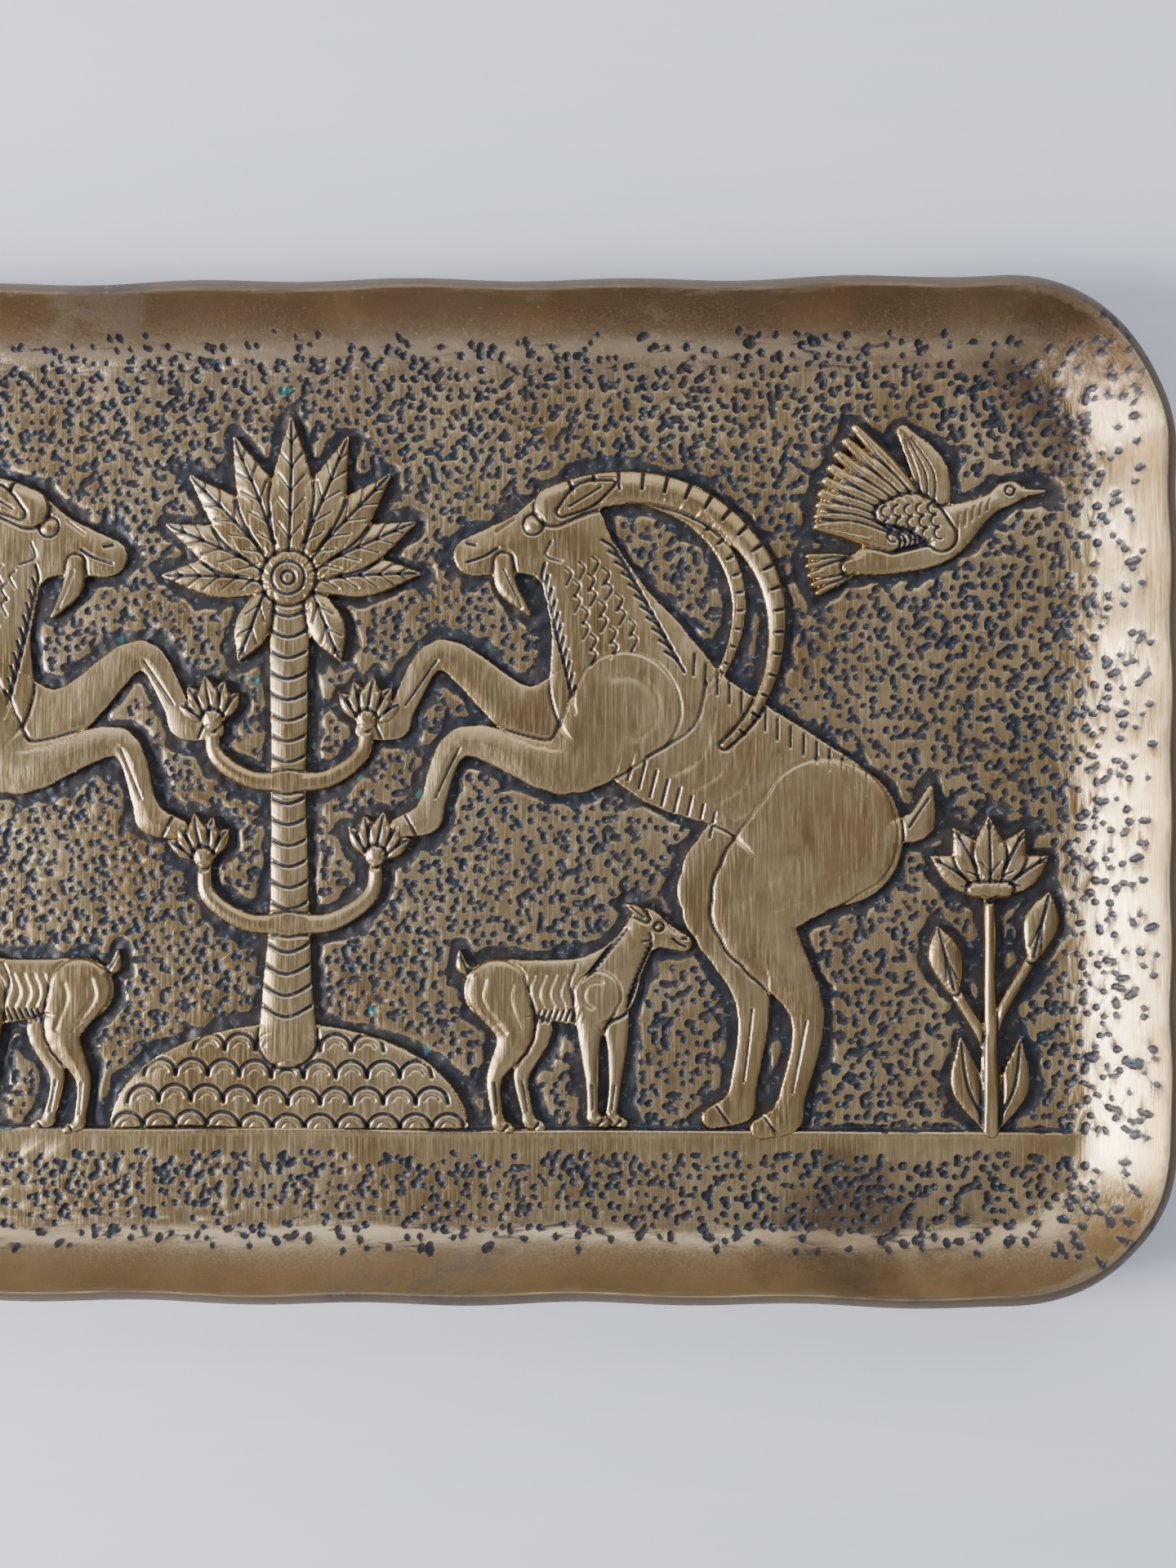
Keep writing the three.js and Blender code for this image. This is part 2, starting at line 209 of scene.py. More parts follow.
class Carving(Grid):
    """A raised figure, built up in layers from the far ones to the near ones."""

    def stroke(self, points, steps=5):
        """Distance to a brush stroke whose points are x, y and half-width."""
        line = smooth_line(points, steps)
        where = self.window(line, REACH + line[:, 2].max())
        x, y = self.x[where], self.y[where]
        d = np.full(x.shape, REACH)
        for (ax, ay, ar), (bx, by, br) in zip(line[:-1], line[1:]):
            dx, dy = bx - ax, by - ay
            t = np.clip(((x - ax) * dx + (y - ay) * dy) / max(dx * dx + dy * dy, 1e-9), 0, 1)
            d = np.minimum(d, np.hypot(x - ax - t * dx, y - ay - t * dy) - ar - t * (br - ar))
        return where, d

    def disc(self, centre, radius):
        return self.stroke([(*centre, radius), (*centre, radius)], 1)

    def merge(self, shapes, soft):
        """One form from several, with a fillet of about soft where they meet."""
        rows = slice(min(w[0].start for w, _ in shapes), max(w[0].stop for w, _ in shapes))
        cols = slice(min(w[1].start for w, _ in shapes), max(w[1].stop for w, _ in shapes))
        whole = np.full((rows.stop - rows.start, cols.stop - cols.start), REACH)
        for (r, c), d in shapes:
            part = (
                slice(r.start - rows.start, r.stop - rows.start),
                slice(c.start - cols.start, c.stop - cols.start),
            )
            fillet = np.clip(soft - np.abs(whole[part] - d), 0, None)
            whole[part] = np.minimum(whole[part], d) - fillet**2 / (4 * soft)
        return (rows, cols), whole

    def raise_form(self, shape, top, edge, root=None, reach=1.0):
        """Lays a rounded form over the rest. Near root it grows out of what is below, with no line."""
        where, d = shape
        foot, groove, soft = 0.42, 0.5, 0.42
        below, outside = self.height[where], self.outline[where] >= 0
        clear = 1.0
        if root is not None:
            clear = ease(np.hypot(self.x[where] - root[0], self.y[where] - root[1]), 0.5 * reach, 1.5 * reach)
            top = MIDDLE + (top - MIDDLE) * (0.35 + 0.65 * clear)
        u = np.clip(-d / edge, 0, 1)
        dome = 0.5 * np.sqrt(1 - (1 - u) ** 2) + 0.5 * (1 - (1 - u) ** 2)
        line = clear * np.exp(-((np.maximum(d, 0) / soft) ** 2)) * np.exp(-((np.minimum(d, 0) / 0.12) ** 2))
        cut = np.where(outside, below, np.maximum(below - groove * line, 0.25))
        over = cut + np.maximum(top - cut, 0) * dome
        alone = top * (foot + (1 - foot) * dome)
        self.height[where] = np.where(d < 0, np.where(outside, alone, over), cut)
        self.patina_and_shade[where] = np.where(outside, 0, self.patina_and_shade[where] * (d >= 0) + 0.9 * line)
        self.outline[where] = np.minimum(self.outline[where], d)

    def cut(self, points, depth=0.42, width=0.28, steps=5):
        """A carved line."""
        line = smooth_line([p[:2] for p in points], steps)
        where = self.window(line, 4 * width)
        x, y = self.x[where], self.y[where]
        d = np.full(x.shape, REACH)
        for (ax, ay), (bx, by) in zip(line[:-1], line[1:]):
            dx, dy = bx - ax, by - ay
            t = np.clip(((x - ax) * dx + (y - ay) * dy) / max(dx * dx + dy * dy, 1e-9), 0, 1)
            d = np.minimum(d, np.hypot(x - ax - t * dx, y - ay - t * dy))
        on_form = self.outline[where] < 0
        self.height[where] -= depth * np.exp(-((d / width) ** 2)) * on_form
        strength = min(2.4 * depth, 0.95) * min(0.3 / width, 1) ** 2
        filled = strength * np.exp(-((d / (1.4 * width)) ** 2)) * on_form
        self.patina_and_shade[where] = np.maximum(self.patina_and_shade[where], filled)

    def work_over(self):
        """The slight unevenness of a hand-worked surface."""
        uneven = 0.10 * noise(self.x, self.y, 11, 16) + 0.06 * noise(self.x, self.y, 5, 17)
        self.height += uneven * ease(-self.outline, 0.2, 3.0)

    def bead(self, centre, radius, rise):
        where = self.window(np.array([centre]), radius)
        d = np.hypot(self.x[where] - centre[0], self.y[where] - centre[1])
        self.height[where] += rise * np.sqrt(np.clip(1 - (d / radius) ** 2, 0, 1))
        self.patina_and_shade[where] *= d > radius


# Goats, in shares of the shoulder height, facing their own +x

HIND_BONES = (0.26, 0.27, 0.24, 0.07)
FORE_BONES = (0.21, 0.25, 0.19, 0.07)
HIND_WIDTHS = (0.17, 0.105, 0.043, 0.031, 0.038)
FORE_WIDTHS = (0.13, 0.068, 0.037, 0.029, 0.036)
RAMPANT = dict(
    pitch=36, hip=0.695, neck=68, head=-16, tail=158, horn=60,
    hind_near=(-48, -118, -80, -36), hind_far=(-36, -106, -84, -36),
    fore_near=(-42, 14, -66, -30), fore_far=(-8, 36, -56, -24),
)
STANDING = dict(
    pitch=0, hip=0.74, neck=60, head=-24, tail=150, horn=60,
    hind_near=(-68, -114, -84, -36), hind_far=(-50, -106, -78, -36),
    fore_near=(-102, -88, -88, -36), fore_far=(-72, -92, -98, -36),
)


class Goat:
    def __init__(self, carving, place, size, turn, pose):
        self.c, self.place, self.size, self.turn, self.pose = carving, place, size, turn, pose
        self.hip = (0.0, pose["hip"])
        self.neck_base = self.along(0.64, 0.04)
        self.poll = polar(self.neck_base, pose["neck"], 0.36)

    def along(self, share, up=0.0):
        """A point on the spine, up above it."""
        return polar(polar(self.hip, self.pose["pitch"], share), self.pose["pitch"] + 90, up)

    def on_head(self, share, up=0.0):
        return polar(polar(self.poll, self.pose["head"], share), self.pose["head"] + 90, up)

    def world(self, points):
        x0, y0 = self.place
        step = self.turn * self.size
        return [(x0 + step * p[0], y0 + self.size * p[1], *(self.size * w for w in p[2:])) for p in points]

    def limb(self, points, widths):
        return self.c.stroke(self.world([(x, y, w) for (x, y), w in zip(points, widths)]))

    def cut(self, points, depth=0.42, width=0.28):
        self.c.cut(self.world(points), depth, width)

    def leg(self, start, bones, widths, angles, top, edge, grown):
        joints = chain(start, bones, angles)
        shaft = self.limb(joints[:4], widths[:4])
        heel, toe = polar(joints[3], -60, 0.02), polar(joints[4], 0, 0.012)
        hoof = self.limb([joints[3], heel, toe], (widths[3], widths[4], widths[4] * 0.7))
        shape = self.c.merge([shaft, hoof], 0.02 * self.size)
        root = self.world([joints[0]])[0] if grown else None
        self.c.raise_form(shape, top, edge, root, widths[0] * self.size)
        self.cut([polar(joints[2], angles[2], 0.02), polar(joints[2], angles[2], bones[2] * 0.8)], 0.3, 0.22)
        cleft = polar(joints[4], angles[3], -0.015)
        self.cut([polar(cleft, angles[3] + 90, 0.045), polar(cleft, angles[3] - 90, 0.03)], 0.4, 0.22)

    def horn(self, radius, width, top):
        """An arc swept back from the brow, ridged across."""
        start, sweep, ridges = self.pose["horn"], 168, 20
        centre = polar(self.on_head(0.01, 0.05), start + 180, radius)
        shares = [k / ridges for k in range(ridges + 1)]
        taper = [(start + sweep * f, radius * (1 - 0.1 * f), width * (1 - 0.8 * f)) for f in shares]
        line = [(*polar(centre, angle, r), w) for angle, r, w in taper]
        self.c.raise_form(self.c.stroke(self.world(line), 2), top, 0.04 * self.size)
        for angle, r, w in taper[1:-1]:
            self.cut([polar(centre, angle, r - 0.1 * w), polar(centre, angle, r + 1.2 * w)], 0.55, 0.22)

    def face(self):
        eye = self.on_head(0.07, 0.02)
        self.cut(arc(eye, 0.025, 0, 360, 9), 0.4, 0.2)
        self.c.bead(self.world([eye])[0], 0.017 * self.size, 0.35)
        lips = [self.on_head(0.245, -0.022), self.on_head(0.20, -0.020), self.on_head(0.165, -0.010)]
        self.cut(lips, 0.45, 0.22)
        self.cut([self.on_head(0.235, 0.022), self.on_head(0.215, 0.012)], 0.45, 0.22)
        cheek = [self.on_head(0.04, -0.03), self.on_head(0.06, -0.06), self.on_head(0.03, -0.085)]
        self.cut(cheek, 0.3, 0.25)
        self.cut([self.on_head(0.11, 0.045), self.on_head(0.16, 0.028)], 0.25, 0.2)

    def ear(self):
        root, back = self.on_head(-0.005, 0.03), self.pose["head"] + 160
        shape = self.limb([root, polar(root, back, 0.07), polar(root, back + 6, 0.135)], (0.012, 0.03, 0.008))
        self.c.raise_form(shape, NEAR, 0.02 * self.size)
        self.cut([polar(root, back, 0.02), polar(root, back + 3, 0.11)], 0.35, 0.2)

    def coat(self):
        """Tufts down both edges of the neck, a fringe under the belly, ribs and a shoulder line."""
        neck, pitch = self.pose["neck"], self.pose["pitch"]
        rows = 11
        for k in range(rows):
            f = k / (rows - 1)
            middle = polar(self.neck_base, neck, 0.31 * f - 0.02)
            for side, half in ((1, 0.115 - 0.045 * f), (-1, 0.120 - 0.045 * f)):
                tip = polar(middle, neck + 90 * side, half)
                lean = neck + 180 - 35 * side
                self.cut([tip, polar(tip, lean, 0.03), polar(tip, lean + 12 * side, 0.065)], 0.42, 0.24)
        for k in range(10):
            root = self.along(0.242 + 0.034 * k, -0.115)
            self.cut([root, polar(root, pitch - 112, 0.065)], 0.36, 0.22)
        for k in range(4):
            share = 0.375 - 0.06 * k
            rib = ((share + 0.01, 0.075), (share - 0.025, -0.02), (share, -0.095))
            self.cut([self.along(*p) for p in rib], 0.22, 0.011 * self.size)
        self.cut([self.along(0.44, 0.13), self.along(0.405, 0.02), self.along(0.45, -0.10)], 0.3, 0.32)

    def wool(self):
        """Rows of short locks down the neck, and a crest along the back."""
        neck = self.pose["neck"]
        for k in range(7):
            middle = polar(self.neck_base, neck, 0.035 * k + 0.05)
            for side in (-1, 0, 1):
                tip = polar(middle, neck + 90, side * (0.052 - 0.003 * k) + 0.01 * (k % 2))
                self.cut([tip, polar(tip, neck + 160, 0.02), polar(tip, neck + 200, 0.042)], 0.3, 0.22)
        for k in range(15):
            top = self.along(0.0 + 0.036 * k, 0.150 + 0.015 * abs(k - 7) / 7)
            self.cut([top, polar(top, self.pose["pitch"] - 125, 0.05)], 0.34, 0.2)

    def muscles(self):
        hip, shoulder = self.along(0.0), self.along(0.56, -0.04)
        knee = polar(hip, self.pose["hind_near"][0], HIND_BONES[0])
        thigh = [polar(hip, 140, 0.09), polar(hip, 215, 0.10), polar(knee, 170, 0.055)]
        self.cut(thigh, 0.2, 0.014 * self.size)
        flank = [polar(hip, 20, 0.09), polar(hip, 320, 0.09), polar(knee, 40, 0.04)]
        self.cut(flank, 0.16, 0.014 * self.size)
        self.cut(arc(shoulder, 0.075, 70, 250, 6), 0.2, 0.013 * self.size)

    def tail(self):
        root, a = self.along(-0.14, 0.10), self.pose["tail"]
        shape = self.limb([root, polar(root, a, 0.06), polar(root, a - 30, 0.13)], (0.028, 0.034, 0.01))
        self.c.raise_form(shape, MIDDLE, 0.03 * self.size)
        self.cut([polar(root, a, 0.03), polar(root, a - 25, 0.11)], 0.35, 0.2)

    def beard(self):
        root = self.on_head(0.16, -0.045)
        shape = self.limb([root, polar(root, -98, 0.06), polar(root, -114, 0.14)], (0.022, 0.026, 0.006))
        self.c.raise_form(shape, MIDDLE, 0.02 * self.size)
        self.cut([polar(root, -96, 0.02), polar(root, -110, 0.12)], 0.3, 0.18)

    def carve(self, horned):
        p, s = self.pose, self.size
        self.leg(self.along(0.04, -0.02), HIND_BONES, HIND_WIDTHS, p["hind_far"], FAR, 0.05 * s, False)
        self.leg(self.along(0.60, -0.05), FORE_BONES, FORE_WIDTHS, p["fore_far"], FAR, 0.05 * s, False)
        self.tail()
        if horned:
            self.horn(0.31, 0.036, FAR)
        spine = [self.along(-0.01), self.along(0.2, 0.015), self.along(0.42, -0.015), self.along(0.60)]
        trunk = self.limb(spine, (0.175, 0.150, 0.180, 0.175))
        nape = [self.along(0.58, 0.02), polar(self.neck_base, p["neck"], 0.16), self.poll]
        neck = self.limb(nape, (0.17, 0.115, 0.078))
        muzzle = [self.poll, self.on_head(0.12, -0.008), self.on_head(0.235, -0.006)]
        head = self.limb(muzzle, (0.076, 0.060, 0.038))
        jaw = self.limb([self.on_head(0.02, -0.045), self.on_head(0.22, -0.022)], (0.046, 0.024))
        self.c.raise_form(self.c.merge([trunk, neck, head, jaw], 0.06 * s), MIDDLE, 0.12 * s)
        self.coat()
        if horned:
            self.wool()
        self.face()
        self.leg(self.along(0.0), HIND_BONES, HIND_WIDTHS, p["hind_near"], NEAR, 0.10 * s, True)
        self.leg(self.along(0.56, -0.04), FORE_BONES, FORE_WIDTHS, p["fore_near"], NEAR, 0.08 * s, True)
        self.muscles()
        if horned:
            self.horn(0.375, 0.048, NEAR)
            self.beard()
        self.ear()


def leaf(carving, root, angle, length, width, top, bend=0, veins=0):
    """A pointed leaf with a midrib and side veins."""
    shape = ((0, 0.4), (0.35, 0.9), (0.6, 1.0), (1.0, 0.1))
    line = [(*polar(root, angle + bend * f, length * f), width * w) for f, w in shape]
    carving.raise_form(carving.stroke(line), top, width * 0.9)
    carving.cut(line, 0.4, 0.24)
    for k in range(veins):
        f = 0.25 + 0.6 * k / max(veins - 1, 1)
        p = polar(root, angle + bend * f, length * f)
        for side in (-1, 1):
            carving.cut([p, polar(p, angle + bend * f + 38 * side, width)], 0.3, 0.18)


# The tree on its hill, in shares of the figures' height

def on_tree(share):
    return share * FIGURE_HEIGHT


def hill(carving):
    """A low hill of overlapping scales."""
    width, height, scale, rows = on_tree(HILL["width"]), on_tree(HILL["height"]), 5.2, 4
    d = (np.hypot(carving.x / width, (carving.y - GROUND_Y) / height) - 1) * height
    d = np.clip(np.maximum(d, GROUND_Y - carving.y), -REACH, REACH)
    carving.raise_form(((slice(0, d.shape[0]), slice(0, d.shape[1])), d), 1.0, 2.5)
    for j in range(rows):
        y = GROUND_Y + j * height / rows
        half = width * math.sqrt(1 - ((j + 0.3) / rows) ** 2) - 0.3 * scale
        count = int(2 * half / scale)
        for k in range(count + 1):
            x = (k - count / 2) * scale
            carving.cut(arc((x, y), scale / 2, 0, 180, 6), 0.5, 0.28, 3)
            carving.cut(arc((x, y), scale / 4, 20, 160, 4), 0.25, 0.2, 3)


def trunk(carving, foot, crown):
    """A stem with a scaly bark of chevrons."""
    line = [(0.0, foot - on_tree(0.02), on_tree(0.041)), (0.0, foot + 0.25 * (crown - foot), on_tree(0.028))]
    line += [(0.0, foot + 0.6 * (crown - foot), on_tree(0.025)), (0.0, crown, on_tree(0.03))]
    carving.raise_form(carving.stroke(line), MIDDLE, 2.8)
    pitch = 3.4
    for k in range(int((crown - foot) / pitch)):
        y = foot + 1 + k * pitch
        carving.cut([(-5, y + 2.4), (0, y), (5, y + 2.4)], 0.45, 0.26)


def branches(carving, up, reach, rise):
    """A pair of branches that curve up to a flower each."""
    y, lift = GROUND_Y + on_tree(up), on_tree(rise)
    tips = [(side * on_tree(reach), y + lift) for side in (-1, 1)]
    arms = []
    for x, top in tips:
        arm = [(0, y, 1.7), (0.5 * x, y + 0.5, 1.5), (0.95 * x, y + 0.45 * lift, 1.3), (x, top, 1.0)]
        arms.append(carving.stroke(arm))
    carving.raise_form(carving.merge(arms, 0.8), MIDDLE, 1.4)
    for tip, lean in zip(tips, (10, -10)):
        for k in (-2, 2, -1, 1, 0):
            leaf(carving, tip, 90 + lean + 27 * k, 7.2 - 0.5 * abs(k), 1.6, NEAR)
        carving.raise_form(carving.disc(tip, 1.7), NEAR + 0.1, 1.5)


def tree():
    carving = Carving((-34, GROUND_Y), (34, 64), FIGURE_CELL)
    foot, crown = GROUND_Y + on_tree(HILL["height"]), GROUND_Y + on_tree(0.75)
    hill(carving)
    trunk(carving, foot, crown)
    for pair in BRANCHES:
        branches(carving, **pair)
    for side in (-1, 1):
        root = (side * on_tree(0.03), crown)
        leaf(carving, root, -90 + side * 22, on_tree(0.11), on_tree(0.024), NEAR, 0, 3)
    heart = (0, crown + on_tree(0.013))
    middle = (CROWN_LEAVES - 1) / 2
    for k in sorted(range(CROWN_LEAVES), key=lambda k: -abs(k - middle)):
        off = k - middle
        leaf(carving, heart, 90 + off * 22, on_tree(0.223 - 0.011 * abs(off)), on_tree(0.029), NEAR, 0, 5)
    carving.raise_form(carving.disc(heart, on_tree(0.038)), NEAR + 0.2, 2.4)
    carving.cut(arc(heart, 2.7, 0, 360, 12), 0.4, 0.25, 2)
    carving.cut(arc(heart, 1.1, 0, 360, 8), 0.4, 0.25, 2)
    return carving


def goat():
    carving = Carving((4, GROUND_Y - 5), (108, 64), FIGURE_CELL)
    place = (GOATS["at"] * HALF_LENGTH, GROUND_Y + GOATS["up"])
    Goat(carving, place, GOATS["size"] * FIGURE_HEIGHT, -1, RAMPANT).carve(True)
    return carving


def kid():
    carving = Carving((22, GROUND_Y - 4), (78, -8), FIGURE_CELL)
    place = (KIDS["at"] * HALF_LENGTH, GROUND_Y + KIDS["up"])
    Goat(carving, place, KIDS["size"] * FIGURE_HEIGHT, 1, STANDING).carve(False)
    return carving


def bird():
    """A flying bird, in shares of its length."""
    size, tilt = BIRDS["size"] * FIGURE_HEIGHT, 14.0
    centre = (BIRDS["at"] * HALF_LENGTH, GROUND_Y + BIRDS["up"] * FIGURE_HEIGHT)
    carving = Carving((centre[0] - 24, centre[1] - 20), (centre[0] + 28, centre[1] + 26), FIGURE_CELL)

    def world(points):
        out = []
        for p in points:
            q = polar(centre, tilt + math.degrees(math.atan2(p[1], p[0])), size * math.hypot(p[0], p[1]))
            out.append((*q, *(size * w for w in p[2:])))
        return out

    def form(points, top, edge):
        carving.raise_form(carving.stroke(world(points)), top, edge)

    form([(0.08, 0.05, 0.12), (0.20, 0.36, 0.12), (0.10, 0.66, 0.04)], FAR, 2.0)
    for k in range(3):
        shift = 0.05 * k
        carving.cut(world([(0.06 + shift, 0.15), (0.12 + shift, 0.36), (0.10 + 0.4 * shift, 0.6)]), 0.3, 0.2)
    for k in (-2, 2, -1, 1, 0):
        root = (-0.34, -0.05)
        quill = [root, polar(root, 180 + 10 * k, 0.16), polar(root, 180 + 10 * k, 0.33)]
        form([(*p, w) for p, w in zip(quill, (0.035, 0.038, 0.022))], MIDDLE, 0.8)
    body = [(-0.42, -0.06, 0.05), (-0.15, -0.03, 0.13), (0.15, 0.0, 0.16)]
    body += [(0.40, 0.08, 0.085), (0.58, 0.14, 0.05)]
    shapes = [body, [(0.60, 0.15, 0.075), (0.65, 0.155, 0.07)], [(0.68, 0.145, 0.035), (0.84, 0.11, 0.012)]]
    carving.raise_form(carving.merge([carving.stroke(world(s)) for s in shapes], 0.8), MIDDLE, 2.0)
    feathers = 9
    for k in range(feathers):
        f = k / (feathers - 1)
        root, a, span = (0.12 - 0.26 * f, 0.02), 108 + 42 * f, 0.78 - 0.32 * f
        quill = [root, polar(root, a, span * 0.5), polar(root, a + 4, span)]
        form([(*p, w) for p, w in zip(quill, (0.05, 0.06, 0.03))], NEAR, 1.0)
        carving.cut(world([polar(root, a, span * 0.3), polar(root, a + 4, span * 0.95)]), 0.25, 0.16)
    form([(0.17, -0.01, 0.085), (0.06, 0.16, 0.11), (-0.13, 0.20, 0.06)], NEAR, 1.6)
    for j in range(3):
        for k in range(5):
            centre_of_scale = (0.16 - 0.07 * k, 0.01 + 0.075 * j + 0.012 * k)
            carving.cut(world(arc(centre_of_scale, 0.034, 80, 280, 5)), 0.35, 0.18, 2)
    carving.cut(world(arc((0.635, 0.165), 0.03, 0, 360, 6)), 0.4, 0.18, 2)
    for k in range(5):
        carving.cut(world([(0.30 + 0.05 * k, 0.09 + 0.012 * k), (0.27 + 0.05 * k, 0.02 * k)]), 0.25, 0.18)
    return carving


def lotus():
    """A lotus plant with a flower and two buds, in shares of its height."""
    root, height = (LOTUSES["at"] * HALF_LENGTH, GROUND_Y), LOTUSES["size"] * FIGURE_HEIGHT
    carving = Carving((root[0] - 18, GROUND_Y - 2), (root[0] + 18, GROUND_Y + 1.5 * height), FIGURE_CELL)
    for lean in (-1, 1):
        leaf(carving, root, 90 + lean * 36, 0.4 * height, 0.06 * height, FAR, -lean * 18, 0)
    for lean, reach in ((15, 0.62), (-14, 0.76), (0, 1.0)):
        tip = polar(root, 90 + lean, height * reach)
        stem = [(*root, 1.3), (*polar(root, 90, 0.5 * height * reach), 1.0), (*tip, 0.9)]
        carving.raise_form(carving.stroke(stem), MIDDLE, 1.0)
        if lean:
            leaf(carving, polar(tip, 90 + lean, -0.5), 90 + lean, 0.27 * height, 0.068 * height, NEAR)
            seam = [polar(tip, 50 + lean, 1.4), polar(tip, 90 + lean, 4.6), polar(tip, 130 + lean, 1.4)]
            carving.cut(seam, 0.3, 0.2)
    for k in (-2, 2, -1, 1, 0):
        length = (0.32 - 0.016 * abs(k)) * height
        leaf(carving, polar(tip, 90, -0.5), 90 + 29 * k, length, 0.066 * height, NEAR, 0, 2)
    knob = [(tip[0] - 2.6, tip[1], 1.3), (tip[0] + 2.6, tip[1], 1.3)]
    carving.raise_form(carving.stroke(knob), NEAR + 0.1, 1.2)
    return carving


# The dish

def wave(x, y):
    turn = 2 * math.pi / WAVE_LENGTH
    return WAVE * (0.6 * np.sin(turn * x + 0.05 * y) + 0.4 * np.sin(1.7 * turn * y + 0.06 * x + 1))


def past_corners(x, y):
    """How far a point is past the corners' centres, with the rim's waves straightened."""
    a, b = HALF_LENGTH - CORNER_RADIUS, WIDTH / 2 - CORNER_RADIUS
    qx, qy = np.abs(x) - a, np.abs(y) - b
    out = np.hypot(np.maximum(qx, 0), np.maximum(qy, 0)) + 1e-9
    straight = 1 - wave(x, y) / out
    return np.maximum(qx, 0) * straight, np.maximum(qy, 0) * straight


def share_of_cove(qx, qy, edge, reach_x, reach_y):
    """0 at the rim, 1 where the cove meets the floor, from where the ring of that share passes."""
    low = np.full(qx.shape, -0.25)
    high = np.ones(qx.shape)
    for _ in range(16):
        middle = (low + high) / 2
        rx = edge - middle * reach_x
        ry = edge - middle * reach_y
        inside = (qx / rx) ** 2 + (qy / ry) ** 2 <= 1
        low = np.where(inside, middle, low)
        high = np.where(inside, high, middle)
    return (low + high) / 2


def soft_min(a, b, soft):
    return np.minimum(a, b) - np.clip(soft - np.abs(a - b), 0, None) ** 2 / (4 * soft)


def soft_max(a, b, soft):
    return -soft_min(-a, -b, soft)


def punch_pits(grid, inset, clear):
    """Punched pits: their depth, and their dark filling. They thin out towards the rim."""
    rng = np.random.default_rng(7)
    depth = np.zeros(grid.x.shape)
    dark = np.zeros(grid.x.shape)
    across = int(LENGTH / PIT_PITCH) + 2
    rows = int(WIDTH / PIT_PITCH) + 8
    for j in range(-rows // 2, rows // 2):
        for i in range(-across // 2, across // 2):
            right, up, turn, size, keep, tail = rng.random(6)
            x = (i + 0.5 * (j % 2) + 0.7 * (right - 0.5)) * PIT_PITCH
            y = (j + 0.7 * (up - 0.5)) * 0.93 * PIT_PITCH
            if abs(x) > HALF_LENGTH - 2 or abs(y) > WIDTH / 2 - 2:
                continue
            room = grid.sample(clear, np.array([x]), np.array([y]))[0]
            edge = grid.sample(inset, np.array([x]), np.array([y]))[0]
            inward = ease(edge, THIN_FROM, THIN_TO)
            if room < 0.5 or keep > PITS_AT_RIM + PITS_MORE_INSIDE * inward:
                continue
            radius = (PIT_RADIUS + PIT_RADIUS_MORE * size**1.5) * (0.85 + 0.15 * inward)
            stretch = 0.25 + 0.75 * (tail > 0.78)
            dx, dy = polar((0, 0), 180 * turn, stretch * radius)
            ends = np.array([(x - dx, y - dy), (x + dx, y + dy)])
            where = grid.window(ends, radius + 1.0)
            px, py = grid.x[where] - ends[0, 0], grid.y[where] - ends[0, 1]
            vx, vy = ends[1] - ends[0]
            t = np.clip((px * vx + py * vy) / max(vx * vx + vy * vy, 1e-9), 0, 1)
            d = np.hypot(px - t * vx, py - t * vy) - radius
            depth[where] = np.maximum(depth[where], (0.6 + 0.4 * size) * PIT_DEPTH * ease(-d, -0.26, 0.3))
            dark[where] = np.maximum(dark[where], ease(-d, -0.44, -0.08))
    return depth, dark


